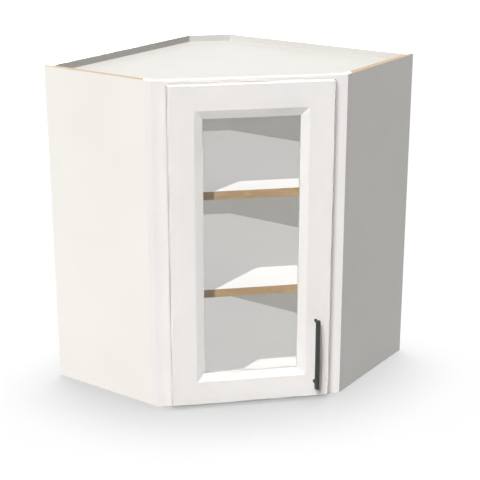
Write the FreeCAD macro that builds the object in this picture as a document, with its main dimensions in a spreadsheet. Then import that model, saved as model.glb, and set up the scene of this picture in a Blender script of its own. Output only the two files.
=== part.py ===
import FreeCAD, Part
import os
import re
import Sketcher

# Corner wall cabinet with one glazed door. Millimetres.
# x and y run along the two room walls and z is up. The origin is under the middle of the square that the
# cabinet fills in the corner. The room corner is at -x, +y and the door faces +x, -y.

SIZES = {
    "wall_width": (609.6, "length of each back along its wall"),
    "side_depth": (304.8, "depth of each side panel from its wall"),
    "cabinet_height": (762, "height of the sides and backs"),
    "side_thickness": (15.875, "side panels"),
    "back_thickness": (12.7, "three back panels"),
    "corner_cut": (88, "inner corner of the cut-off back, from either wall"),
    "rabbet_depth": (6.35, "step in each side that takes the back"),
    "dado_depth": (6.35, "groove in each side that takes the top and bottom"),
    "panel_thickness": (15.875, "top and bottom panels"),
    "top_recess": (15.875, "top panel below the top edges"),
    "bottom_recess": (19.05, "bottom panel above the bottom edges"),
    "frame_thickness": (12.7, "face frame"),
    "frame_rail_width": (38.1, "face frame rails"),
    "frame_stile_width": (63.1, "face frame stiles, along the front"),
    "tenon_length": (9.5, "tenons of the frame and door rails"),
    "tenon_thickness": (6, "tenons of the frame and door rails"),
    "tenon_shoulder": (6, "from a tenon to the edge of its rail"),
    "mortise_room": (0.5, "beyond the end of a tenon"),
    "shelf_thickness": (19.05, "both shelves"),
    "shelf_gap": (1, "round a shelf"),
    "shelf_setback": (0.5, "shelf edging behind the face frame"),
    "edging_depth": (6, "solid wood edging on a shelf"),
    "upper_shelf_height": (508.2, "top of the upper shelf"),
    "lower_shelf_height": (276.9, "top of the lower shelf"),
    "shelf_hole_diameter": (5, "holes for the shelf pins"),
    "shelf_hole_depth": (10, "holes for the shelf pins"),
    "shelf_hole_pitch": (32, "between the holes of a group"),
    "shelf_hole_inset": (50, "hole columns from the back and from the front end"),
    "shelf_pin_clearance": (0.05, "round a pin in its hole"),
    "shelf_pin_reach": (9, "flat tongue of a pin under the shelf"),
    "shelf_pin_tongue_width": (8, "flat tongue of a pin"),
    "shelf_pin_tongue_thickness": (3, "flat tongue of a pin"),
    "door_overlay": (31.75, "door over the opening on every side"),
    "door_gap": (3.2, "door in front of the face frame"),
    "door_thickness": (19.05, "door frame"),
    "door_frame_width": (57.15, "flat of the door's stiles and rails"),
    "sticking_width": (19.05, "sloping moulding round the glass"),
    "sticking_depth": (6.35, "glass end of the moulding below the door's face"),
    "sticking_land": (5.35, "square edge in front of the glass"),
    "door_bevel_width": (2.8, "outer bevel seen from the front"),
    "door_bevel_depth": (2.4, "outer bevel seen from the side"),
    "glass_rabbet": (9.5, "width of the glass seat"),
    "glass_thickness": (3.175, "glass pane"),
    "glass_clearance": (1.2, "round the pane"),
    "bead_width": (8, "glazing beads"),
    "bead_clearance": (0.1, "glazing beads in front of the door's back"),
    "hinge_inset": (88.9, "hinge centres from the ends of the door"),
    "cup_diameter": (35, "hinge cup"),
    "cup_depth": (13, "hinge cup bore"),
    "cup_edge": (3, "cup from the edge of the door"),
    "cup_clearance": (0.1, "round the cup in its bore"),
    "cup_wall": (1, "wall and floor of the cup"),
    "cup_rim": (1.5, "flange round the cup"),
    "flange_length": (58, "ears of the flange along the door"),
    "flange_width": (16, "ears of the flange across the door"),
    "flange_thickness": (1, "cup flange"),
    "pivot_edge": (7.7, "hinge pin from the edge of the door"),
    "pivot_depth": (9, "hinge pin from the back of the door"),
    "pin_diameter": (2.4, "hinge pin"),
    "pin_clearance": (0.05, "hinge pin in the arm"),
    "knuckle_wall": (1.4, "arm round the pin"),
    "arm_width": (10, "hinge arm"),
    "arm_thickness": (2.2, "hinge arm"),
    "arm_plate_length": (48, "plate on the edge of the face frame"),
    "arm_plate_margin": (0.5, "plate from the front of the face frame"),
    "screw_clearance": (0.05, "round a screw in its hole"),
    "screw_room": (0.5, "beyond the tip of a screw or pin in its hole"),
    "pull_spacing": (152.4, "between the posts of the pull"),
    "pull_length": (170.6, "bar of the pull"),
    "pull_diameter": (11, "bar of the pull"),
    "pull_projection": (26.25, "bar's axis in front of the door"),
    "pull_edge": (35.3, "pull from the edge of the door"),
    "pull_height": (40.3, "lower post above the foot of the door"),
    "pull_end_chamfer": (1.2, "broken edges of the bar's ends"),
    "post_diameter": (6.4, "posts of the pull"),
    "post_foot_diameter": (7.4, "foot of a post"),
    "post_foot_height": (2, "foot of a post"),
    "post_fit": (0.05, "between a post and the bar"),
    "pull_screw_diameter": (3.5, "machine screws of the pull"),
    "pull_screw_reach": (12, "screw inside the post"),
    "pull_screw_head_diameter": (8, "screw head behind the door"),
    "pull_screw_head_height": (2.2, "screw head behind the door"),
    "bumper_diameter": (9.5, "door bumpers"),
    "bumper_clearance": (0.3, "bumpers in front of the face frame"),
    "bumper_inset": (16, "bumpers from the edges of the door"),
}

document = FreeCAD.newDocument("CornerWallCabinet")
sheet = document.addObject("Spreadsheet::Sheet", "Sizes")
for row, (name, (size, meaning)) in enumerate(SIZES.items(), start=1):
    sheet.set(f"A{row}", name)
    sheet.set(f"B{row}", str(size))
    sheet.setAlias(f"B{row}", name)
    sheet.set(f"C{row}", meaning)
document.recompute()


def formula(text):
    """Write a sum of size names as an expression that reads the sheet."""
    def from_sheet(word):
        return "Sizes." + word.group() if word.group() in SIZES else word.group()

    return re.sub(r"[a-z_]+", from_sheet, text)


def value(text):
    """Give the present value of a formula."""
    return float(sheet.evalExpression(formula(text)))


def bind(thing, **formulas):
    """Tie properties of an object to formulas."""
    for name, text in formulas.items():
        thing.setExpression(name, formula(text))


def place(thing, x, y, z, turn=0):
    """Put an object at a point given by formulas, turned about z by some degrees."""
    spin = FreeCAD.Rotation(FreeCAD.Vector(0, 0, 1), turn)
    thing.Placement = FreeCAD.Placement(FreeCAD.Vector(value(x), value(y), value(z)), spin)
    for axis, text in zip("xyz", (x, y, z)):
        thing.setExpression(".Placement.Base." + axis, formula(text))


# Places that several pieces share, as formulas.
FRONT_WIDTH = "(sqrt(2) * (wall_width - side_depth))"
FRAME_SET_IN = "(sqrt(2) * frame_thickness)"
OPENING_HALF_WIDTH = f"({FRONT_WIDTH} / 2 - frame_stile_width)"
DOOR_HALF_WIDTH = f"({OPENING_HALF_WIDTH} + door_overlay)"
DOOR_BOTTOM = "(frame_rail_width - door_overlay)"
DOOR_HEIGHT = "(cabinet_height - 2 * frame_rail_width + 2 * door_overlay)"
DOOR_FRAME_INSIDE = f"({DOOR_HALF_WIDTH} - door_frame_width)"
GLASS_HALF_WIDTH = f"({DOOR_FRAME_INSIDE} - sticking_width)"
GLASS_BOTTOM = "(door_frame_width + sticking_width)"
GLASS_SEAT = "(door_thickness - sticking_depth - sticking_land)"
BEAD_DEPTH = f"({GLASS_SEAT} - glass_thickness - bead_clearance)"
HINGE_X = f"(cup_edge + cup_diameter / 2 - {DOOR_HALF_WIDTH})"
PIVOT_X = f"(pivot_edge - {DOOR_HALF_WIDTH})"
PULL_X = f"({DOOR_HALF_WIDTH} - pull_edge)"
LOWER_HINGE = f"({DOOR_BOTTOM} + hinge_inset)"
UPPER_HINGE = f"({DOOR_BOTTOM} + {DOOR_HEIGHT} - hinge_inset)"


def place_on_front(thing, out="0", z="0", across="0", turn=0):
    """Put an object at the front, where x runs along the face frame and y runs into the cabinet."""
    x = f"side_depth / 2 + (({across}) + ({out})) / sqrt(2)"
    y = f"-side_depth / 2 + (({across}) - ({out})) / sqrt(2)"
    place(thing, x, y, z, 45 + turn)


def new_body(label):
    """Start a sub-part that is made from sketches."""
    body = document.addObject("PartDesign::Body", label)
    body.Label = label
    return body


def origin_plane(body, role):
    """Find one of the body's own planes."""
    return next(feature for feature in body.Origin.OriginFeatures if feature.Role == role)


def sketch_on(body, name, role, outlines=(), circles=(), offset=None):
    """Draw closed outlines and circles whose corners, centres and diameters are formulas."""
    sketch = body.newObject("Sketcher::SketchObject", name)
    sketch.AttachmentSupport = (origin_plane(body, role), [""])
    sketch.MapMode = "FlatFace"
    if offset:
        sketch.setExpression(".AttachmentOffset.Base.z", formula(offset))
    for corners in outlines:
        first = sketch.GeometryCount
        points = [FreeCAD.Vector(value(x), value(y), 0) for x, y in corners]
        following = points[1:] + points[:1]
        sketch.addGeometry([Part.LineSegment(start, end) for start, end in zip(points, following)], False)
        for number, (x, y) in enumerate(corners):
            line = first + number
            next_line = first + (number + 1) % len(corners)
            sketch.addConstraint(Sketcher.Constraint("Coincident", line, 2, next_line, 1))
            tie_point(sketch, line, 1, x, y)
    for x, y, diameter in circles:
        centre = FreeCAD.Vector(value(x), value(y), 0)
        circle = sketch.addGeometry(Part.Circle(centre, FreeCAD.Vector(0, 0, 1), value(diameter) / 2), False)
        tie_point(sketch, circle, 3, x, y)
        size = sketch.addConstraint(Sketcher.Constraint("Diameter", circle, value(diameter)))
        sketch.setExpression(f"Constraints[{size}]", formula(diameter))
    return sketch


def tie_point(sketch, line, end, x, y):
    """Hold a point of a sketch at a place given by formulas."""
    for direction, text in (("DistanceX", x), ("DistanceY", y)):
        tie = sketch.addConstraint(Sketcher.Constraint(direction, -1, 1, line, end, value(text)))
        sketch.setExpression(f"Constraints[{tie}]", formula(text))


def volume(body):
    return 0 if body.Shape.isNull() else body.Shape.Volume


def add_feature(body, kind, name, profile, length, reverse=False, both_ways=False):
    """Pad or pocket a sketch by a length, and check that the solid grew or shrank."""
    before = volume(body)
    feature = body.newObject("PartDesign::" + kind, name)
    feature.Profile = profile
    bind(feature, Length=length)
    feature.Reversed = reverse
    feature.Midplane = both_ways
    document.recompute()
    change = volume(body) - before
    if (change > 0) != (kind == "Pad"):
        raise RuntimeError(f"{name} on {body.Label} changed the volume by {change:.1f}")
    return feature


def pad(body, name, profile, length, **ways):
    return add_feature(body, "Pad", name, profile, length, **ways)


def pocket(body, name, profile, length, **ways):
    return add_feature(body, "Pocket", name, profile, length, **ways)


# Carcass. Each side and back is drawn in plan with x along its own wall, and the right one mirrors the left.

def side_panel(label, inward, x, y, turn):
    """Side panel with its inner face at y = 0, rabbeted for the back and bevelled to meet the face frame."""
    body = new_body(label)
    outer = f"-{inward} * side_thickness"
    step = f"-{inward} * rabbet_depth"
    front_outside = f"side_depth - {FRAME_SET_IN}"
    front_inside = f"side_depth + side_thickness - {FRAME_SET_IN}"
    plan = sketch_on(body, "Plan", "XY_Plane", [[
        ("0", outer), (front_outside, outer), (front_inside, "0"),
        ("back_thickness", "0"), ("back_thickness", step), ("0", step),
    ]])
    pad(body, "Panel", plan, "cabinet_height")
    grooves = sketch_on(body, "GrooveFace", "XZ_Plane", [
        rectangle("back_thickness", "side_depth + side_thickness", bottom, f"{bottom} + panel_thickness")
        for bottom in ("bottom_recess", "(cabinet_height - top_recess - panel_thickness)")
    ])
    into_panel = inward == 1
    pocket(body, "Grooves", grooves, "dado_depth", reverse=into_panel)
    holes = sketch_on(body, "HoleCentres", "XZ_Plane", circles=[
        (column, f"{pin_height(shelf)} - shelf_hole_pitch", "shelf_hole_diameter")
        for column in SHELF_HOLE_COLUMNS for shelf in ("lower_shelf_height", "upper_shelf_height")
    ])
    hole = pocket(body, "LowestHoles", holes, "shelf_hole_depth", reverse=into_panel)
    group = body.newObject("PartDesign::LinearPattern", "HoleGroups")
    group.Originals = [hole]
    group.Direction = (holes, ["V_Axis"])
    group.Occurrences = 3
    bind(group, Length="2 * shelf_hole_pitch")
    body.Tip = group
    place(body, x, y, "0", turn)


def rectangle(left, right, bottom, top):
    return [(left, bottom), (right, bottom), (right, top), (left, top)]


def pin_height(shelf):
    """Centre of a pin that the shelf rests on."""
    return f"({shelf} - shelf_thickness - shelf_pin_tongue_thickness / 2)"


SHELF_HOLE_COLUMNS = (
    "(back_thickness + shelf_hole_inset)",
    f"(side_depth - {FRAME_SET_IN} - shelf_hole_inset)",
)
side_panel("side_panel_left", 1, "-wall_width / 2", "side_thickness - wall_width / 2", 0)
side_panel("side_panel_right", -1, "wall_width / 2 - side_thickness", "wall_width / 2", -90)

MITRE = "(corner_cut + back_thickness - sqrt(2) * back_thickness)"


def back_panel(label, inward, turn):
    """Back panel along one wall, mitred at the cut-off corner."""
    body = new_body(label)
    end = "(wall_width - side_thickness + rabbet_depth)"
    plan = sketch_on(body, "Plan", "XY_Plane", [[
        (MITRE, "0"), (end, "0"),
        (end, f"{inward} * back_thickness"), ("corner_cut", f"{inward} * back_thickness"),
    ]])
    pad(body, "Panel", plan, "cabinet_height")
    place(body, "-wall_width / 2", "wall_width / 2", "0", turn)


back_panel("back_panel_left", 1, -90)
back_panel("back_panel_right", -1, 0)

corner_panel = new_body("back_panel_corner")
corner_plan = sketch_on(corner_panel, "Plan", "XY_Plane", [[
    ("back_thickness", "-corner_cut"), ("0", f"-{MITRE}"), (MITRE, "0"), ("corner_cut", "-back_thickness"),
]])
pad(corner_panel, "Panel", corner_plan, "cabinet_height")
place(corner_panel, "-wall_width / 2", "wall_width / 2", "0")


def floor_plan(body, side_reach, back_gap, front_gap):
    """Six-sided outline between the sides, the three backs and the face frame, from the room corner."""
    side = f"(wall_width - side_thickness + {side_reach})"
    back = f"(back_thickness + {back_gap})"
    cut = f"(corner_cut + (sqrt(2) - 1) * {back_gap})"
    front = f"(wall_width + side_depth - sqrt(2) * (frame_thickness + {front_gap}) - {side})"
    return sketch_on(body, "Plan", "XY_Plane", [[
        (back, f"-{side}"), (front, f"-{side}"), (side, f"-{front}"),
        (side, f"-{back}"), (cut, f"-{back}"), (back, f"-{cut}"),
    ]])


def floor(label, height, thickness, side_reach, back_gap, front_gap):
    """Level panel that fills the cabinet's plan."""
    body = new_body(label)
    plan = floor_plan(body, side_reach, back_gap, front_gap)
    pad(body, "Panel", plan, thickness)
    place(body, "-wall_width / 2", "wall_width / 2", height)


for label, height in (
    ("bottom_panel", "bottom_recess"),
    ("top_panel", "cabinet_height - top_recess - panel_thickness"),
):
    floor(label, height, "panel_thickness", "dado_depth", "0", "0")


# Shelves, their solid wood front edging and the pins that they rest on.

def shelf(name, height):
    bottom = f"{height} - shelf_thickness"
    front_gap = "(shelf_setback + edging_depth)"
    floor(f"shelf_{name}", bottom, "shelf_thickness", "(-shelf_gap)", "shelf_gap", front_gap)
    edging = new_body(f"shelf_edge_{name}")
    front = "(frame_thickness + shelf_setback)"
    back = f"({front} + edging_depth)"
    half_width = f"{FRONT_WIDTH} / 2 - sqrt(2) * (side_thickness + shelf_gap)"
    plan = sketch_on(edging, "Plan", "XY_Plane", [[
        (f"-({half_width} + {front})", front), (f"{half_width} + {front}", front),
        (f"{half_width} + {back}", back), (f"-({half_width} + {back})", back),
    ]])
    pad(edging, "Edging", plan, "shelf_thickness")
    place_on_front(edging, z=bottom)


shelf("upper", "upper_shelf_height")
shelf("lower", "lower_shelf_height")


def group(label, pieces):
    """Keep equal pieces in one sub-part as separate solids."""
    compound = document.addObject("Part::Compound", label)
    compound.Label = label
    compound.Links = pieces


def shelf_pin(name, x, y, z, turn):
    """Round pin in a side panel, whose flat tongue points into the cabinet along its own y."""
    body = new_body(name)
    diameter = "(shelf_hole_diameter - 2 * shelf_pin_clearance)"
    shank = sketch_on(body, "ShankOutline", "XZ_Plane", circles=[("0", "0", diameter)])
    pad(body, "InPanel", shank, "shelf_hole_depth - screw_room")
    half_width = "shelf_pin_tongue_width / 2"
    half_thickness = "shelf_pin_tongue_thickness / 2"
    tongue = sketch_on(body, "TongueOutline", "XZ_Plane", [
        rectangle(f"-{half_width}", half_width, f"-{half_thickness}", half_thickness),
    ])
    pad(body, "UnderShelf", tongue, "shelf_pin_reach", reverse=True)
    place(body, x, y, z, turn)
    return body


pins = []
for name in ("upper", "lower"):
    height = pin_height(f"{name}_shelf_height")
    for number, column in enumerate(SHELF_HOLE_COLUMNS, start=1):
        left_x = f"{column} - wall_width / 2"
        right_y = f"wall_width / 2 - {column}"
        inner_face = "(wall_width / 2 - side_thickness)"
        pins.append(shelf_pin(f"pin_{name}_left_{number}", left_x, f"-{inner_face}", height, 0))
        pins.append(shelf_pin(f"pin_{name}_right_{number}", inner_face, right_y, height, 90))
group("shelf_pins", pins)


# Face frame. Its stiles end in the planes of the side panels' outer faces, at 45 degrees.

def tenon_section(thickness_centre, foot, head):
    """Outline of a tenon or mortise, in y and z."""
    half = "tenon_thickness / 2"
    return rectangle(f"{thickness_centre} - {half}", f"{thickness_centre} + {half}",
                     f"{foot} + tenon_shoulder", f"{head} - tenon_shoulder")


def frame_stile(label, side):
    body = new_body(label)
    inner = f"{side} * {OPENING_HALF_WIDTH}"
    plan = sketch_on(body, "Plan", "XY_Plane", [[
        (inner, "0"), (f"{side} * {FRONT_WIDTH} / 2", "0"),
        (f"{side} * ({FRONT_WIDTH} / 2 + frame_thickness)", "frame_thickness"), (inner, "frame_thickness"),
    ]])
    pad(body, "Stile", plan, "cabinet_height")
    mortises = sketch_on(body, "MortiseFace", "YZ_Plane", [
        tenon_section("frame_thickness / 2", "0", "frame_rail_width"),
        tenon_section("frame_thickness / 2", "cabinet_height - frame_rail_width", "cabinet_height"),
    ], offset=inner)
    pocket(body, "Mortises", mortises, "tenon_length + mortise_room", reverse=side == 1)
    place_on_front(body)


def frame_rail(label, height):
    body = new_body(label)
    face = sketch_on(body, "Face", "XZ_Plane", [
        rectangle(f"-{OPENING_HALF_WIDTH}", OPENING_HALF_WIDTH, "0", "frame_rail_width"),
    ])
    pad(body, "Rail", face, "frame_thickness", reverse=True)
    tenon = sketch_on(body, "TenonOutline", "YZ_Plane", [
        tenon_section("frame_thickness / 2", "0", "frame_rail_width"),
    ])
    pad(body, "Tenons", tenon, f"2 * ({OPENING_HALF_WIDTH} + tenon_length)", both_ways=True)
    place_on_front(body, z=height)


frame_stile("frame_stile_left", -1)
frame_stile("frame_stile_right", 1)
frame_rail("frame_rail_bottom", "0")
frame_rail("frame_rail_top", "cabinet_height - frame_rail_width")


# Door. Its back is at y = 0 and it is drawn from its lower edge up. A moulding that is mitred at the
# corners slopes down from the face to the glass, ends in a square edge and holds the rabbet behind it.

def moulding_profile(edge):
    """Section of a door stile or rail from its outer edge to the glass, as (place across, depth)."""
    glass_edge = GLASS_BOTTOM
    return [
        (edge("0"), "0"),
        (edge("0"), "door_bevel_depth - door_thickness"),
        (edge("door_bevel_width"), "-door_thickness"),
        (edge("door_frame_width"), "-door_thickness"),
        (edge(glass_edge), "sticking_depth - door_thickness"),
        (edge(glass_edge), f"-{GLASS_SEAT}"),
        (edge(f"({glass_edge} - glass_rabbet)"), f"-{GLASS_SEAT}"),
        (edge(f"({glass_edge} - glass_rabbet)"), "0"),
    ]


def door_stile(label, side):
    body = new_body(label)

    def from_edge(distance):
        return f"{side} * ({DOOR_HALF_WIDTH} - {distance})"

    section = sketch_on(body, "Section", "XY_Plane", [moulding_profile(from_edge)])
    pad(body, "Stile", section, DOOR_HEIGHT)
    mitres = sketch_on(body, "MitreFace", "XZ_Plane", [
        [(from_edge(GLASS_BOTTOM), glass_end), (from_edge("door_frame_width"), frame_end),
         (from_edge("door_frame_width"), end), (from_edge(GLASS_BOTTOM), end)]
        for glass_end, frame_end, end in (
            (GLASS_BOTTOM, "door_frame_width", "0"),
            (f"{DOOR_HEIGHT} - {GLASS_BOTTOM}", f"{DOOR_HEIGHT} - door_frame_width", DOOR_HEIGHT),
        )
    ])
    pocket(body, "Mitres", mitres, "3 * door_thickness", both_ways=True)
    bevels = sketch_on(body, "BevelEnds", "YZ_Plane", [
        [("-door_thickness", end), ("-door_thickness", inside), ("door_bevel_depth - door_thickness", end)]
        for end, inside in (("0", "door_bevel_width"), (DOOR_HEIGHT, f"{DOOR_HEIGHT} - door_bevel_width"))
    ])
    pocket(body, "Bevels", bevels, f"4 * {DOOR_HALF_WIDTH}", both_ways=True)
    mortises = sketch_on(body, "MortiseFace", "YZ_Plane", [
        tenon_section("-door_thickness / 2", "0", "door_frame_width"),
        tenon_section("-door_thickness / 2", f"{DOOR_HEIGHT} - door_frame_width", DOOR_HEIGHT),
    ], offset=from_edge("door_frame_width"))
    pocket(body, "Mortises", mortises, "tenon_length + mortise_room", reverse=side == 1)
    place_on_front(body, out="door_gap", z=DOOR_BOTTOM)
    return body


def door_rail(label, at_top):
    body = new_body(label)

    def from_edge(distance):
        return f"({DOOR_HEIGHT} - {distance})" if at_top else f"({distance})"

    profile = [(depth, height) for height, depth in moulding_profile(from_edge)]
    section = sketch_on(body, "Section", "YZ_Plane", [profile])
    pad(body, "Rail", section, f"2 * {DOOR_FRAME_INSIDE}", both_ways=True)
    mitres = sketch_on(body, "MitreFace", "XZ_Plane", [
        [(f"{side} * {GLASS_HALF_WIDTH}", from_edge(GLASS_BOTTOM)),
         (f"{side} * {DOOR_FRAME_INSIDE}", from_edge("door_frame_width")),
         (f"{side} * {DOOR_FRAME_INSIDE}", from_edge(GLASS_BOTTOM))]
        for side in (-1, 1)
    ])
    pocket(body, "Mitres", mitres, "3 * door_thickness", both_ways=True)
    foot, head = ("door_frame_width", "0") if at_top else ("0", "door_frame_width")
    tenon = sketch_on(body, "TenonOutline", "YZ_Plane", [
        tenon_section("-door_thickness / 2", from_edge(foot), from_edge(head)),
    ])
    pad(body, "Tenons", tenon, f"2 * ({DOOR_FRAME_INSIDE} + tenon_length)", both_ways=True)
    place_on_front(body, out="door_gap", z=DOOR_BOTTOM)


def bore(body, name, x, heights, diameter, depth):
    """Sink a column of round holes into a door stile from its back."""
    holes = sketch_on(body, name + "Centres", "XZ_Plane", circles=[(x, z, diameter) for z in heights])
    pocket(body, name, holes, depth, reverse=True)


hinge_stile = door_stile("door_stile_left", -1)
bore(hinge_stile, "CupBores", HINGE_X, ["hinge_inset", f"({DOOR_HEIGHT} - hinge_inset)"],
     "cup_diameter + 2 * cup_clearance", "cup_depth + cup_clearance")
pull_stile = door_stile("door_stile_right", 1)
bore(pull_stile, "PullHoles", PULL_X, ["pull_height", "pull_height + pull_spacing"],
     "pull_screw_diameter + 2 * screw_clearance", "door_thickness")
door_rail("door_rail_bottom", False)
door_rail("door_rail_top", True)

# Glass in the rabbet, held by four mitred beads that stop just short of the door's back.
RABBET_HALF_WIDTH = f"({GLASS_HALF_WIDTH} + glass_rabbet)"
RABBET_BOTTOM = f"({GLASS_BOTTOM} - glass_rabbet)"
RABBET_TOP = f"({DOOR_HEIGHT} - {RABBET_BOTTOM})"

pane = new_body("glass_pane")
pane_face = sketch_on(pane, "Face", "XZ_Plane", [rectangle(
    f"glass_clearance - {RABBET_HALF_WIDTH}", f"{RABBET_HALF_WIDTH} - glass_clearance",
    f"{RABBET_BOTTOM} + glass_clearance", f"{RABBET_TOP} - glass_clearance",
)])
pad(pane, "Pane", pane_face, "glass_thickness")
place_on_front(pane, out=f"door_gap + {GLASS_SEAT} - glass_thickness", z=DOOR_BOTTOM)


def glazing_bead(label, corners):
    bead = new_body(label)
    face = sketch_on(bead, "Face", "XZ_Plane", [corners])
    pad(bead, "Bead", face, BEAD_DEPTH)
    place_on_front(bead, out="door_gap + bead_clearance", z=DOOR_BOTTOM)


for name, side in (("left", -1), ("right", 1)):
    outer = f"{side} * {RABBET_HALF_WIDTH}"
    inner = f"{side} * ({RABBET_HALF_WIDTH} - bead_width)"
    glazing_bead(f"glazing_bead_{name}", [
        (outer, RABBET_BOTTOM), (inner, f"{RABBET_BOTTOM} + bead_width"),
        (inner, f"{RABBET_TOP} - bead_width"), (outer, RABBET_TOP),
    ])
for name, outer, inner in (
    ("bottom", RABBET_BOTTOM, f"{RABBET_BOTTOM} + bead_width"),
    ("top", RABBET_TOP, f"{RABBET_TOP} - bead_width"),
):
    glazing_bead(f"glazing_bead_{name}", [
        (f"-{RABBET_HALF_WIDTH}", outer), (RABBET_HALF_WIDTH, outer),
        (f"{RABBET_HALF_WIDTH} - bead_width", inner), (f"bead_width - {RABBET_HALF_WIDTH}", inner),
    ])


# Concealed hinges. The cup is let into the door. An arm screwed to the edge of the face frame reaches
# into it, and the pin through the cup's walls turns in the arm's knuckle.

def hinge_cup(label, height):
    body = new_body(label)
    cup = sketch_on(body, "CupOutline", "XZ_Plane", circles=[("0", "0", "cup_diameter")])
    pad(body, "Cup", cup, "cup_depth")
    ears = sketch_on(body, "EarOutline", "XZ_Plane", [
        rectangle("-flange_width / 2", "flange_width / 2", "-flange_length / 2", "flange_length / 2"),
    ])
    pad(body, "Ears", ears, "flange_thickness", reverse=True)
    rim = sketch_on(body, "RimOutline", "XZ_Plane", circles=[("0", "0", "cup_diameter + 2 * cup_rim")])
    pad(body, "Rim", rim, "flange_thickness", reverse=True)
    mouth = sketch_on(body, "Mouth", "XZ_Plane", circles=[("0", "0", "cup_diameter - 2 * cup_wall")],
                      offset="-flange_thickness")
    pocket(body, "Hollow", mouth, "flange_thickness + cup_depth - cup_wall", reverse=True)
    pin = sketch_on(body, "PinOutline", "XY_Plane", circles=[
        (f"{PIVOT_X} - {HINGE_X}", "-pivot_depth", "pin_diameter + 2 * pin_clearance"),
    ])
    pocket(body, "PinHoles", pin, PIN_LENGTH, both_ways=True)
    place_on_front(body, out="door_gap", z=height, across=HINGE_X)


PIN_LENGTH = (f"(2 * sqrt((cup_diameter / 2 - cup_clearance)^2"
              f" - ({HINGE_X} - {PIVOT_X} + pin_diameter / 2 + pin_clearance)^2))")


def hinge_pin(name, height):
    body = new_body(name)
    outline = sketch_on(body, "Outline", "XY_Plane", circles=[("0", "0", "pin_diameter")])
    pad(body, "Pin", outline, PIN_LENGTH, both_ways=True)
    place_on_front(body, out="door_gap + pivot_depth", z=height, across=PIVOT_X)
    return body


def hinge_arm(label, height):
    """Cranked arm about the pin, with its plate flat on the inner edge of the frame stile."""
    body = new_body(label)
    knuckle_radius = "(pin_diameter / 2 + pin_clearance + knuckle_wall)"
    edge = f"(-{OPENING_HALF_WIDTH} - {PIVOT_X})"
    frame_front = "(door_gap + pivot_depth)"
    plate_start = f"{frame_front} + arm_plate_margin"
    plate_end = f"{frame_front} + frame_thickness - arm_plate_margin"
    knuckle = sketch_on(body, "KnuckleOutline", "XY_Plane", circles=[("0", "0", f"2 * {knuckle_radius}")])
    pad(body, "Knuckle", knuckle, "arm_width", both_ways=True)
    crank = sketch_on(body, "CrankOutline", "XY_Plane", [[
        ("0", f"-{knuckle_radius}"), (f"{edge} + arm_thickness", f"-{knuckle_radius}"),
        (f"{edge} + arm_thickness", plate_end), (edge, plate_end),
        (edge, f"arm_thickness - {knuckle_radius}"), ("0", f"arm_thickness - {knuckle_radius}"),
    ]])
    pad(body, "Crank", crank, "arm_width", both_ways=True)
    plate = sketch_on(body, "PlateOutline", "XY_Plane", [
        rectangle(edge, f"{edge} + arm_thickness", plate_start, plate_end),
    ])
    pad(body, "Plate", plate, "arm_plate_length", both_ways=True)
    eye = sketch_on(body, "EyeOutline", "XY_Plane", circles=[("0", "0", "pin_diameter + 2 * pin_clearance")])
    pocket(body, "Eye", eye, "2 * arm_width", both_ways=True)
    place_on_front(body, out=frame_front, z=height, across=PIVOT_X)


hinge_pins = []
for name, height in (("upper", UPPER_HINGE), ("lower", LOWER_HINGE)):
    hinge_cup(f"hinge_cup_{name}", height)
    hinge_arm(f"hinge_arm_{name}", height)
    hinge_pins.append(hinge_pin(f"hinge_pin_{name}", height))
group("hinge_pins", hinge_pins)


# Bar pull on the free stile, screwed through the door, and two bumpers behind the same stile.

def pull_screw(name, height):
    """Machine screw from the back of the door into a post."""
    body = new_body(name)
    shank = sketch_on(body, "ShankOutline", "XZ_Plane", circles=[("0", "0", "pull_screw_diameter")])
    pad(body, "Shank", shank, "door_thickness + pull_screw_reach")
    head = sketch_on(body, "HeadOutline", "XZ_Plane", circles=[("0", "0", "pull_screw_head_diameter")])
    pad(body, "Head", head, "pull_screw_head_height", reverse=True)
    place_on_front(body, out="door_gap", z=height, across=PULL_X)
    return body


def pull_post(name, height):
    """Post with a wider foot on the door, its end shaped to the bar."""
    body = new_body(name)
    foot = sketch_on(body, "FootOutline", "XZ_Plane", circles=[("0", "0", "post_foot_diameter")])
    pad(body, "Foot", foot, "post_foot_height")
    neck = sketch_on(body, "NeckOutline", "XZ_Plane", circles=[("0", "0", "post_diameter")])
    pad(body, "Neck", neck, "pull_projection")
    saddle = sketch_on(body, "BarOutline", "XY_Plane", circles=[
        ("0", "-pull_projection", "pull_diameter + 2 * post_fit"),
    ])
    pocket(body, "Saddle", saddle, "2 * pull_diameter", both_ways=True)
    thread = sketch_on(body, "ThreadOutline", "XZ_Plane", circles=[
        ("0", "0", "pull_screw_diameter + 2 * screw_clearance"),
    ])
    pocket(body, "Thread", thread, "pull_screw_reach + screw_room", reverse=True)
    place_on_front(body, out="door_gap + door_thickness", z=height, across=PULL_X)
    return body



pull_middle = f"{DOOR_BOTTOM} + pull_height + pull_spacing / 2"
bar = new_body("pull_bar")
bar_outline = sketch_on(bar, "Outline", "XY_Plane", circles=[("0", "0", "pull_diameter")])
bar_pad = pad(bar, "Bar", bar_outline, "pull_length", both_ways=True)
bar_ends = bar.newObject("PartDesign::Chamfer", "Ends")
bar_ends.Base = (bar_pad, [f"Face{number}" for number, face in enumerate(bar_pad.Shape.Faces, start=1)
                           if isinstance(face.Surface, Part.Plane)])
bind(bar_ends, Size="pull_end_chamfer")
place_on_front(bar, out="door_gap + door_thickness + pull_projection", z=pull_middle, across=PULL_X)

posts = []
screws = []
for name, end in (("lower", -1), ("upper", 1)):
    height = f"{pull_middle} + {end} * pull_spacing / 2"
    posts.append(pull_post(f"pull_post_{name}", height))
    screws.append(pull_screw(f"pull_screw_{name}", height))
group("pull_posts", posts)
group("pull_screws", screws)

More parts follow.
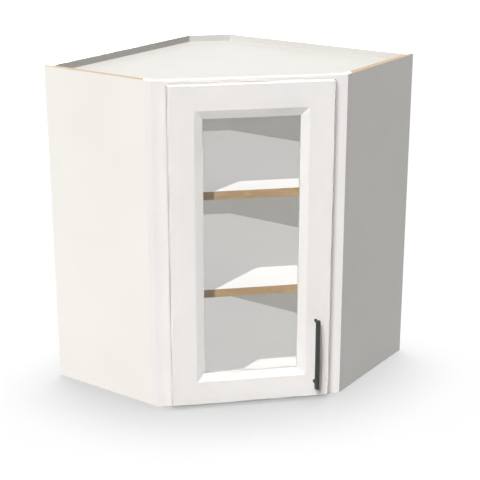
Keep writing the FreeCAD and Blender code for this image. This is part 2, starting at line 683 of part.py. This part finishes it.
bumpers = []
for number, height in ((1, "bumper_inset"), (2, f"({DOOR_HEIGHT} - bumper_inset)")):
    bumper = new_body(f"door_bumper_{number}")
    outline = sketch_on(bumper, "Outline", "XZ_Plane", circles=[("0", "0", "bumper_diameter")])
    pad(bumper, "Pad", outline, "door_gap - bumper_clearance", reverse=True)
    place_on_front(bumper, out="door_gap", z=f"{DOOR_BOTTOM} + {height}",
                   across=f"({DOOR_HALF_WIDTH} - bumper_inset)")
    bumpers.append(bumper)
group("door_bumpers", bumpers)

document.recompute()
for thing in document.Objects:
    if "Invalid" in thing.State or "Error" in thing.State:
        raise RuntimeError(f"{thing.Label} did not build: {thing.State}")

groups = [thing for thing in document.Objects if thing.TypeId == "Part::Compound"]
grouped = [piece.Name for compound in groups for piece in compound.Links]
whole_bodies = [thing for thing in document.Objects if thing.TypeId == "PartDesign::Body"]
bodies = [body for body in whole_bodies if body.Name not in grouped]
os.makedirs("parts", exist_ok=True)
for sub_part in bodies + groups:
    shape = sub_part.Shape
    if shape.isNull() or not shape.isValid():
        raise RuntimeError(f"{sub_part.Label} has no valid shape")
for sub_part in bodies + groups:
    sub_part.Shape.exportStep(f"parts/{sub_part.Label}.step")
    print(f"{sub_part.Label}: {len(sub_part.Shape.Solids)} solids, {sub_part.Shape.Volume:.0f} mm3")
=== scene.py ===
import bpy
import math
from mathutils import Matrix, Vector


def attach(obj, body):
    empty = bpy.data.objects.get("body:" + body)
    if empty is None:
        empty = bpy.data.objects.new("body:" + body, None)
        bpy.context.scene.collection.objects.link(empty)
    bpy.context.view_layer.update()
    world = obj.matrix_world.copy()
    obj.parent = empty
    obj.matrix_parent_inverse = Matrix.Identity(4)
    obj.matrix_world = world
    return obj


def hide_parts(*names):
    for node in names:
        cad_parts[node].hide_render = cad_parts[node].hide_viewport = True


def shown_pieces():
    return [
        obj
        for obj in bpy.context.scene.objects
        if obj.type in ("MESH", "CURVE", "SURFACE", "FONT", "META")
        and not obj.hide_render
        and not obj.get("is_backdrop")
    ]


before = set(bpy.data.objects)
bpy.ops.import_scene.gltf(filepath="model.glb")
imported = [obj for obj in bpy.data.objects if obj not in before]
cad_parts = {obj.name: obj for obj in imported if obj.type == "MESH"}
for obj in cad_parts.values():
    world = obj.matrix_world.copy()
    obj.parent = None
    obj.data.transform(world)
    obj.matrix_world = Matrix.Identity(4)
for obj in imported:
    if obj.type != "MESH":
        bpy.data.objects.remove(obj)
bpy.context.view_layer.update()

# Side panels. Plywood faced with white melamine on both sides, grooved for the top and the bottom and
# bored for the shelf pins. Their sawn upper and lower ends are left bare and show the plies, but for
# the mitred tips, which are painted together with the face frame.


class Signal:
    """What comes out of a node, as a term of a sum."""

    def __init__(self, net, socket):
        self.net = net
        self.socket = socket

    def combine(self, operation, first, second):
        return self.net.node("ShaderNodeMath", {"operation": operation}, {0: first, 1: second})

    def __add__(self, other):
        return self.combine("ADD", self, other)

    def __mul__(self, other):
        return self.combine("MULTIPLY", self, other)

    def __gt__(self, other):
        return self.combine("GREATER_THAN", self, other)


class Net:
    """A tree of nodes that is built up node by node."""

    def __init__(self, tree):
        self.tree = tree
        tree.nodes.clear()

    def node(self, kind, settings=None, inputs=None, output=0):
        """Add a node, set it up, and give its sockets their values or links."""
        added = self.tree.nodes.new(kind)
        for name, setting in (settings or {}).items():
            setattr(added, name, setting)
        for name, given in (inputs or {}).items():
            for one in given if isinstance(given, list) else [given]:
                if isinstance(one, Signal):
                    self.tree.links.new(one.socket, added.inputs[name])
                else:
                    added.inputs[name].default_value = one
        return Signal(self, added.outputs[output]) if added.outputs else None


class Finish(Net):
    """The nodes of a material."""

    FLAT_FROM = 0.7     # height of a unit normal from which a surface counts as lying flat

    def __init__(self, name):
        self.material = bpy.data.materials.new(name)
        self.material.use_nodes = True
        super().__init__(self.material.node_tree)

    def mix(self, factor, first, second):
        """Go from one colour to another."""
        return self.node("ShaderNodeMix", {"data_type": "RGBA"}, {0: factor, 6: first, 7: second}, 2)

    def along(self, stretch=(1, 1, 1), turn=0):
        """The piece's own coordinates, turned about z and then stretched."""
        own = self.node("ShaderNodeTexCoord", output="Object")
        turned = self.node("ShaderNodeMapping", {}, {"Vector": own, "Rotation": (0, 0, math.radians(turn))})
        return self.node("ShaderNodeMapping", {}, {"Vector": turned, "Scale": stretch})

    def noise(self, vector, scale, detail=3.0, distortion=0.0):
        return self.node("ShaderNodeTexNoise", {}, {
            "Vector": vector, "Scale": scale, "Detail": detail, "Distortion": distortion})

    def band(self, signal, low, high):
        """Spread a signal's middle range over 0 to 1."""
        return self.node("ShaderNodeMapRange", {}, {"Value": signal, "From Min": low, "From Max": high})

    def bump(self, height, distance):
        return self.node("ShaderNodeBump", {}, {"Height": height, "Distance": distance, "Strength": 1.0})

    def level(self):
        """1 on the surfaces that lie flat, and 0 on upright ones."""
        normal = self.node("ShaderNodeNewGeometry", output="Normal")
        upright = self.node("ShaderNodeSeparateXYZ", {}, {0: normal}, "Z")
        return self.node("ShaderNodeMath", {"operation": "ABSOLUTE"}, {0: upright}) > self.FLAT_FROM

    def surface(self, **sockets):
        """End in one shader whose sockets are named without their spaces."""
        names = {name.replace("_", " "): given for name, given in sockets.items()}
        shader = self.node("ShaderNodeBsdfPrincipled", {}, names)
        self.node("ShaderNodeOutputMaterial", {}, {"Surface": shader})
        return self.material


def tint(red, green, blue):
    """A colour from its screen values."""
    linear = [((c / 255 + 0.055) / 1.055) ** 2.4 for c in (red, green, blue)]
    return (*linear, 1.0)


def dress(nodes, material):
    """Give CAD nodes their finish."""
    for name in nodes:
        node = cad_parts[name]
        node.data.materials.clear()
        node.data.materials.append(material)


BOARD_WHITE = (tint(236, 233, 227), tint(240, 237, 231))
PLY_LIGHT = tint(221, 198, 168)
PLY_DARK = tint(188, 157, 124)
PLY_THICKNESS = 0.00225
PLY_WANDER = 0.0016
PLY_EDGE = (0.0012, 0.0024)
PAINTED_TIP = 0.3228


def faced_board(name, ply_axis=None):
    """White melamine. Where the plies' axis is given, level surfaces show the bare plies."""
    finish = Finish(name)
    fine = finish.noise(finish.along(), 850.0, 2.0)
    broad = finish.noise(finish.along(), 5.0, 2.0)
    white = finish.mix(finish.band(broad, 0.3, 0.7), *BOARD_WHITE)
    if ply_axis is None:
        return finish.surface(
            Base_Color=white,
            Specular_IOR_Level=0.25,
            Roughness=fine * 0.12 + 0.34,
            Normal=finish.bump(fine, 0.00003),
        )
    stretch = [9.0, 9.0, 9.0]
    stretch["xyz".index(ply_axis)] = 420.0
    own = finish.along()
    place = finish.node("ShaderNodeSeparateXYZ", {}, {0: own}, ply_axis.upper())
    layers = finish.node("ShaderNodeMath", {"operation": "PINGPONG"}, {0: place, 1: PLY_THICKNESS})
    fibres = finish.noise(finish.along(tuple(stretch)), 6.0, 5.0, 0.4)
    bare = finish.mix(finish.band(layers + fibres * PLY_WANDER, *PLY_EDGE), PLY_DARK, PLY_LIGHT)
    sideways = (finish.node("ShaderNodeSeparateXYZ", {}, {0: own}, "X")
                + finish.node("ShaderNodeSeparateXYZ", {}, {0: own}, "Y"))
    behind_tip = finish.node("ShaderNodeMath", {"operation": "ABSOLUTE"}, {0: sideways}) > PAINTED_TIP
    sawn = finish.level() * behind_tip
    return finish.surface(
        Base_Color=finish.mix(sawn, white, bare),
        Specular_IOR_Level=0.25,
        Roughness=sawn * 0.3 + fine * 0.12 + 0.34,
        Normal=finish.bump(fine + sawn * fibres * 6.0, 0.00003),
    )


dress(["side_panel_left"], faced_board("faced_board_left", "y"))
dress(["side_panel_right"], faced_board("faced_board_right", "x"))

# Backs, top and bottom. The same faced board, cut to the walls and the cut-off corner. Their ends are
# white too: the backs are edged, and the top and bottom sit in grooves with their ends covered.

board = faced_board("faced_board")
dress(["back_panel_left", "back_panel_right", "back_panel_corner"], board)
dress(["top_panel", "bottom_panel"], board)

# Shelves. Board lipped along the front with clear-finished light brown wood, whose grain runs along it.
# The white facing covers the lipping's top and bottom too. They lie on nickel pins in the side panels.


def lipping_wood(name, turn):
    """Straight-grained wood whose grain runs along x after the turn, with its flat sides faced white."""
    finish = Finish(name)
    fibres = finish.noise(finish.along((14.0, 900.0, 900.0), turn), 1.0, 6.0, 0.6)
    figure = finish.noise(finish.along((30.0, 60.0, 130.0), turn), 1.0, 3.0, 0.8)
    pores = finish.noise(finish.along((90.0, 2600.0, 2600.0), turn), 1.0, 2.0)
    wood = finish.mix(finish.band(figure + fibres * 0.5, 0.5, 1.0), tint(205, 162, 103), tint(240, 200, 140))
    bare = finish.mix(finish.band(pores, 0.62, 0.8) * 0.5, wood, tint(150, 108, 62))
    return finish.surface(
        Base_Color=finish.mix(finish.level(), bare, BOARD_WHITE[0]),
        Roughness=fibres * 0.2 + 0.4,
        Normal=finish.bump(fibres + pores, 0.00005),
    )


dress(["shelf_upper", "shelf_lower"], board)
dress(["shelf_edge_upper", "shelf_edge_lower"], lipping_wood("lipping_wood", -45))

# Face frame and door frame. Hardwood stiles and rails, tenoned together and sprayed with white satin
# paint, under which the grain of each piece still shows a little as relief.


def painted_wood(name, grain, turn=0):
    """White paint over wood, with the stretch that lays its grain along the piece."""
    finish = Finish(name)
    spray = finish.noise(finish.along(), 700.0, 2.0)
    broad = finish.noise(finish.along(), 6.0, 2.0)
    relief = finish.noise(finish.along(grain, turn), 1.0, 4.0, 0.5)
    return finish.surface(
        Base_Color=finish.mix(
            finish.band(broad + relief * 0.3, 0.4, 0.9), tint(233, 229, 226), tint(238, 234, 231)),
        Specular_IOR_Level=0.3,
        Roughness=spray * 0.14 + relief * 0.06 + 0.32,
        Coat_Weight=0.08,
        Coat_Roughness=0.35,
        Normal=finish.bump(spray * 0.6 + relief, 0.00005),
    )


upright_paint = painted_wood("painted_upright", (420.0, 420.0, 8.0))
level_paint = painted_wood("painted_level", (8.0, 420.0, 420.0), -45)
dress(["frame_stile_left", "frame_stile_right"], upright_paint)
dress(["frame_rail_bottom", "frame_rail_top"], level_paint)
dress(["door_stile_left", "door_stile_right"], upright_paint)
dress(["door_rail_bottom", "door_rail_top"], level_paint)
dress(["glazing_bead_left", "glazing_bead_right"], upright_paint)
dress(["glazing_bead_bottom", "glazing_bead_top"], level_paint)

# Glass. A clear float pane in the door's rabbet, with the faint haze that handling leaves. Light from
# the lamps goes straight through it to the shelves.

pane = Finish("float_glass")
haze = pane.noise(pane.along(), 9.0, 4.0, 1.5)
glass = pane.node("ShaderNodeBsdfPrincipled", {}, {
    "Base Color": (0.975, 0.98, 0.99, 1),
    "Roughness": pane.band(haze, 0.45, 0.9) * 0.03,
    "IOR": 1.5,
    "Specular IOR Level": 0.3,
    "Transmission Weight": 1.0,
})
clear = pane.node("ShaderNodeBsdfTransparent", {}, {"Color": (0.955, 0.96, 0.975, 1)})
unseen = (pane.node("ShaderNodeLightPath", output="Is Shadow Ray")
          + pane.node("ShaderNodeLightPath", output="Is Diffuse Ray"))
pane.node("ShaderNodeOutputMaterial", {}, {
    "Surface": pane.node("ShaderNodeMixShader", {}, {0: unseen, 1: glass, 2: clear})})
dress(["glass_pane"], pane.material)

# Hinges, shelf pins and the pull's screws. Nickel-plated steel, pressed and polished, with the fine
# lines of the press. Their edges are rounded, as pressed and tumbled steel is.


def nickel(name):
    finish = Finish(name)
    lines = finish.noise(finish.along((300.0, 300.0, 4000.0)), 1.0, 3.0)
    cloud = finish.noise(finish.along(), 160.0, 3.0)
    return finish.surface(
        Base_Color=finish.mix(cloud, tint(178, 176, 170), tint(204, 202, 197)),
        Metallic=1.0,
        Roughness=lines * 0.16 + cloud * 0.08 + 0.18,
        Normal=finish.bump(lines, 0.00002),
    )


def eased(node, body, material, width, segments=3):
    """A copy of a CAD node with rounded edges, which takes the node's place."""
    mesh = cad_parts[node].data.copy()
    piece = bpy.data.objects.new(node + "_eased", mesh)
    bpy.context.scene.collection.objects.link(piece)
    weld = piece.modifiers.new("Weld", "WELD")
    weld.merge_threshold = 0.000002
    flat = piece.modifiers.new("Flat", "DECIMATE")
    flat.decimate_type = "DISSOLVE"
    flat.angle_limit = math.radians(1)
    bevel = piece.modifiers.new("Round", "BEVEL")
    bevel.width = width
    bevel.segments = segments
    bevel.limit_method = "ANGLE"
    bevel.angle_limit = math.radians(32)
    bevel.use_clamp_overlap = True
    shapes = bpy.context.evaluated_depsgraph_get()
    piece.data = bpy.data.meshes.new_from_object(piece.evaluated_get(shapes))
    piece.modifiers.clear()
    piece.data.shade_smooth()
    piece.data.set_sharp_from_angle(angle=math.radians(50))
    piece.data.materials.clear()
    piece.data.materials.append(material)
    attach(piece, body)
    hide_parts(node)


hinge_metal = nickel("nickel_plate")
for end in ("upper", "lower"):
    eased(f"hinge_cup_{end}", "door", hinge_metal, 0.00025)
    eased(f"hinge_arm_{end}", "cabinet", hinge_metal, 0.0003)
dress(["hinge_pins"], hinge_metal)
eased("shelf_pins", "cabinet", hinge_metal, 0.0003)
eased("pull_screws", "door", hinge_metal, 0.0005)

# Hinge screws. Flat-topped steel screws with a cross recess: two through the ears of each cup into the
# door, and two through each arm's plate into the edge of the face frame.

OUTWARD = Vector((1, -1, 0)).normalized()
ACROSS = Vector((1, 1, 0)).normalized()
UP = Vector((0, 0, 1))
SCREW_HEAD_RADIUS = 0.0031
SCREW_HEAD_HEIGHT = 0.0011
RECESS_LENGTH = 0.0036
RECESS_WIDTH = 0.0008
EAR_SCREW_SPACING = 0.045
PLATE_SCREW_SPACING = 0.034


def reach(node, direction):
    """The least and greatest distance of a node's corners along a direction."""
    places = [corner.co.dot(direction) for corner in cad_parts[node].data.vertices]
    return min(places), max(places)


def screw_heads():
    """Tree that sets a screw head on every point, turned by chance and facing as the point says."""
    tree = bpy.data.node_groups.new("screw_heads", "GeometryNodeTree")
    tree.interface.new_socket("Geometry", in_out="OUTPUT", socket_type="NodeSocketGeometry")
    tree.interface.new_socket("Geometry", in_out="INPUT", socket_type="NodeSocketGeometry")
    for label in ("Head Radius", "Head Height", "Recess Length", "Recess Width"):
        tree.interface.new_socket(label, in_out="INPUT", socket_type="NodeSocketFloat")
    tree.interface.new_socket("Finish", in_out="INPUT", socket_type="NodeSocketMaterial")
    net = Net(tree)
    radius = net.node("NodeGroupInput", output="Head Radius")
    height = net.node("NodeGroupInput", output="Head Height")
    length = net.node("NodeGroupInput", output="Recess Length")
    width = net.node("NodeGroupInput", output="Recess Width")
    head = net.node("GeometryNodeMeshCone", {}, {
        "Vertices": 32, "Radius Top": radius * 0.8, "Radius Bottom": radius, "Depth": height})
    slots = []
    for along_x, along_y in ((length, width), (width, length)):
        size = net.node("ShaderNodeCombineXYZ", {}, {"X": along_x, "Y": along_y, "Z": height})
        block = net.node("GeometryNodeMeshCube", {}, {"Size": size})
        lift = net.node("ShaderNodeCombineXYZ", {}, {"Z": height})
        slots.append(net.node("GeometryNodeTransform", {}, {"Geometry": block, "Translation": lift}))
    carved = net.node("GeometryNodeMeshBoolean", {"operation": "DIFFERENCE"}, {
        "Mesh 1": head, "Mesh 2": slots})
    facing = net.node("GeometryNodeInputNamedAttribute", {"data_type": "FLOAT_VECTOR"}, {"Name": "facing"})
    aligned = net.node("FunctionNodeAlignRotationToVector", {"axis": "Z"}, {"Vector": facing})
    chance = net.node("FunctionNodeRandomValue", {"data_type": "FLOAT"}, {3: math.pi / 2, "Seed": 4}, 1)
    spin = net.node("ShaderNodeCombineXYZ", {}, {"Z": chance})
    turned = net.node("FunctionNodeRotateRotation", {"rotation_space": "LOCAL"}, {
        "Rotation": aligned, "Rotate By": spin})
    placed = net.node("GeometryNodeInstanceOnPoints", {}, {
        "Points": net.node("NodeGroupInput", output="Geometry"), "Instance": carved, "Rotation": turned})
    real = net.node("GeometryNodeRealizeInstances", {}, {"Geometry": placed})
    plated = net.node("GeometryNodeSetMaterial", {}, {
        "Geometry": real, "Material": net.node("NodeGroupInput", output="Finish")})
    net.node("NodeGroupOutput", {}, {0: plated})
    return tree


def grow(tree, name, points, facing, body, slot, **inputs):
    """Run a tree on points that face one way, keep the result as a plain mesh and let it ride."""
    mesh = bpy.data.meshes.new(name)
    mesh.from_pydata(points, [], [])
    mesh.attributes.new("facing", "FLOAT_VECTOR", "POINT")
    mesh.attributes["facing"].data.foreach_set("vector", [c for _ in points for c in facing])
    piece = bpy.data.objects.new(name, mesh)
    bpy.context.scene.collection.objects.link(piece)
    modifier = piece.modifiers.new("Grow", "NODES")
    modifier.node_group = tree
    for item in tree.interface.items_tree:
        key = item.name.lower().replace(" ", "_")
        if key in inputs:
            modifier[item.identifier] = inputs[key]
    shapes = bpy.context.evaluated_depsgraph_get()
    piece.data = bpy.data.meshes.new_from_object(piece.evaluated_get(shapes))
    piece.modifiers.clear()
    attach(piece, body)


def centre_of(node, direction):
    low, high = reach(node, direction)
    return (low + high) / 2


ear_screws = []
plate_screws = []
for end in ("upper", "lower"):
    cup = f"hinge_cup_{end}"
    arm = f"hinge_arm_{end}"
    ear_back = OUTWARD * reach(cup, OUTWARD)[0] + ACROSS * centre_of(cup, ACROSS) + UP * centre_of(cup, UP)
    frame_middle = centre_of("frame_rail_bottom", OUTWARD)
    plate_face = OUTWARD * frame_middle + ACROSS * reach(arm, ACROSS)[1] + UP * centre_of(arm, UP)
    for side in (-1, 1):
        ear_screws.append(ear_back + UP * side * EAR_SCREW_SPACING / 2)
        plate_screws.append(plate_face + UP * side * PLATE_SCREW_SPACING / 2)
screw_sizes = {
    "head_radius": SCREW_HEAD_RADIUS, "head_height": SCREW_HEAD_HEIGHT,
    "recess_length": RECESS_LENGTH, "recess_width": RECESS_WIDTH, "finish": hinge_metal,
}
heads = screw_heads()
grow(heads, "hinge_ear_screws", ear_screws, -OUTWARD, "door", "nickel_steel", **screw_sizes)
grow(heads, "hinge_plate_screws", plate_screws, ACROSS, "cabinet", "nickel_steel", **screw_sizes)

# Bar pull. A round steel bar on two thin posts with wider feet, coated matt black. Screws from the back
# of the stile hold it.


def black_coat(name):
    finish = Finish(name)
    grit = finish.noise(finish.along(), 2600.0, 2.0)
    cloud = finish.noise(finish.along(), 120.0, 2.0)
    return finish.surface(
        Base_Color=finish.mix(cloud, tint(44, 43, 39), tint(58, 57, 51)),
        Metallic=0.25,
        Roughness=grit * 0.15 + 0.36,
        Normal=finish.bump(grit, 0.00003),
    )


coat = black_coat("matt_black_coat")
eased("pull_bar", "door", coat, 0.0008, 4)
eased("pull_posts", "door", coat, 0.0004)

# Door bumpers. Soft clear pads stuck to the back of the free stile.

pad = Finish("clear_pad")
dust = pad.noise(pad.along(), 900.0, 2.0)
pad.surface(
    Base_Color=pad.mix(dust, tint(226, 226, 220), tint(240, 240, 236)),
    Roughness=dust * 0.2 + 0.25,
    IOR=1.45,
    Transmission_Weight=0.6,
    Normal=pad.bump(dust, 0.00003),
)
eased("door_bumpers", "door", pad.material, 0.0005)

# Room. A white floor that runs on out of sight under a white sky. The camera sees both bright, but they
# give the pieces only a weak even glow, so that the undersides stay calm.

FLOOR_REACH = 30.0
FLOOR_DROP = 0.0005
FLOOR_WHITE = (0.236, 0.236, 0.236, 1)
FLOOR_GLOW = 0.16
FLOOR_LIFT = 0.46
SKY_STRENGTH = 0.13


def seen_by(net):
    """1 for what the camera sees, straight on or by way of metal and glass, and 0 for other light."""
    return (net.node("ShaderNodeLightPath", output="Is Camera Ray")
            + net.node("ShaderNodeLightPath", output="Is Glossy Ray")
            + net.node("ShaderNodeLightPath", output="Is Transmission Ray"))


floor_mesh = bpy.data.meshes.new("floor")
floor_mesh.from_pydata(
    [(-FLOOR_REACH, -FLOOR_REACH, 0), (FLOOR_REACH, -FLOOR_REACH, 0),
     (FLOOR_REACH, FLOOR_REACH, 0), (-FLOOR_REACH, FLOOR_REACH, 0)],
    [], [(0, 1, 2, 3)])
floor = bpy.data.objects.new("floor", floor_mesh)
bpy.context.scene.collection.objects.link(floor)
floor.location.z = -FLOOR_DROP
floor_finish = Finish("white_floor")
floor_seen = floor_finish.node("ShaderNodeAddShader", {}, {
    0: floor_finish.node("ShaderNodeBsdfDiffuse", {}, {"Color": FLOOR_WHITE}),
    1: floor_finish.node("ShaderNodeEmission", {}, {"Strength": FLOOR_LIFT})})
floor_felt = floor_finish.node("ShaderNodeEmission", {}, {"Strength": FLOOR_GLOW})
floor_finish.node("ShaderNodeOutputMaterial", {}, {
    "Surface": floor_finish.node("ShaderNodeMixShader", {}, {
        0: seen_by(floor_finish), 1: floor_felt, 2: floor_seen})})
floor_mesh.materials.append(floor_finish.material)
floor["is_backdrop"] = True

world = bpy.data.worlds.new("sky")
bpy.context.scene.world = world
world.use_nodes = True
sky = Net(world.node_tree)
sky_felt = sky.node("ShaderNodeBackground", {}, {"Strength": SKY_STRENGTH})
sky_seen = sky.node("ShaderNodeBackground", {}, {"Color": (1, 1, 1, 1), "Strength": 1.0})
sky.node("ShaderNodeOutputWorld", {}, {
    "Surface": sky.node("ShaderNodeMixShader", {}, {0: seen_by(sky), 1: sky_felt, 2: sky_seen})})

# Lamps. The main pair comes from the front and left and gives no bounced light, so that no glow lies
# beside the door's edges. A small clear one and even ones light the inside, high and rear ones the backs,
# the frame's rear and the open door, and the floor has its own from above.


def sun(name, toward, level, spread, lit, colour=(1, 1, 1), shadow=True, bounces=8):
    """Lamp far away: its level on a surface facing it, the pieces it lights and how often it bounces."""
    lamp = bpy.data.lights.new(name, "SUN")
    lamp.energy = level * math.pi
    lamp.angle = math.radians(spread)
    lamp.color = colour
    lamp.use_shadow = shadow
    lamp.cycles.max_bounces = bounces
    holder = bpy.data.objects.new(name, lamp)
    bpy.context.scene.collection.objects.link(holder)
    holder.rotation_euler = toward.to_track_quat("Z", "Y").to_euler()
    group = bpy.data.collections.new(name + "_lights")
    for piece in lit:
        group.objects.link(piece)
    holder.light_linking.receiver_collection = group


def from_front(left, height):
    """Direction toward a lamp, in degrees left of the door's middle and above the level."""
    left = math.radians(left)
    height = math.radians(height)
    return (OUTWARD * math.cos(left) - ACROSS * math.sin(left)) * math.cos(height) + UP * math.sin(height)


CLEAR_WARM = (1.0, 0.98, 0.95)
FILL_COOL = (0.895, 0.93, 1.0)
SHELF_LAMP_TOWARD = Vector((0.013, -0.827, 1.0))
inside = [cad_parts[name] for name in (
    "shelf_upper", "shelf_lower", "shelf_edge_upper", "shelf_edge_lower", "bottom_panel",
    "glazing_bead_left", "glazing_bead_right", "glazing_bead_bottom", "glazing_bead_top")]
left_back = [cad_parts["back_panel_left"]]
other_backs = [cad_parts[name] for name in ("back_panel_right", "back_panel_corner")]
open_front = [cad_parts[name] for name in (
    "side_panel_left", "side_panel_right",
    "frame_stile_left", "frame_stile_right", "frame_rail_bottom", "frame_rail_top")]
door_wood = [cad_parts[name] for name in (
    "door_stile_left", "door_stile_right", "door_rail_bottom", "door_rail_top")]
outside = [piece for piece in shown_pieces() if piece not in inside + left_back + other_backs]
sun("main_lamp", from_front(27, 43), 0.88, 22, outside, bounces=0)
sun("open_lamp", from_front(27, 43), 0.45, 22, outside, shadow=False, bounces=0)
sun("back_lamp", from_front(25, 43), 0.34, 22, other_backs)
sun("shelf_lamp", SHELF_LAMP_TOWARD, 0.88, 0.25, inside, CLEAR_WARM)
sun("shelf_fill", UP, 0.46, 20, inside, FILL_COOL, shadow=False)
sun("back_fill", OUTWARD, 0.04, 20, other_backs, FILL_COOL, shadow=False)
sun("rim_lamp", from_front(45, 60), 1.08, 20, other_backs, bounces=0)
sun("left_rim_lamp", from_front(-20, 60), 0.55, 20, left_back, bounces=0)
sun("wall_lamp", from_front(180, 20), 0.75, 40, left_back + other_backs)
sun("low_lamp", from_front(180, 5), 0.45, 40, open_front, bounces=0)
sun("door_lamp", from_front(-120, 20), 0.6, 40, door_wood, bounces=0)
sun("floor_lamp", from_front(-170, 84), 1.62, 26, [floor])
sun("floor_fill", UP, 0.62, 100, [floor])

# Camera. A long lens above the cabinet's top, a little to the left of the door's middle.

CAMERA_PLACE = (1.6165, -2.2901, 1.2733)
CAMERA_LENS_MM = 91.59
CAMERA_SENSOR_MM = 36
CAMERA_DOWN_DEG = 18.734
CAMERA_TURN_DEG = 34.914
camera = bpy.data.objects.new("camera", bpy.data.cameras.new("camera"))
bpy.context.scene.collection.objects.link(camera)
camera.data.lens = CAMERA_LENS_MM
camera.data.sensor_width = CAMERA_SENSOR_MM
camera.data.clip_end = 100
camera.location = CAMERA_PLACE
camera.rotation_euler = (math.radians(90 - CAMERA_DOWN_DEG), 0, math.radians(CAMERA_TURN_DEG))
bpy.context.scene.camera = camera
bpy.context.scene.view_settings.view_transform = "Standard"
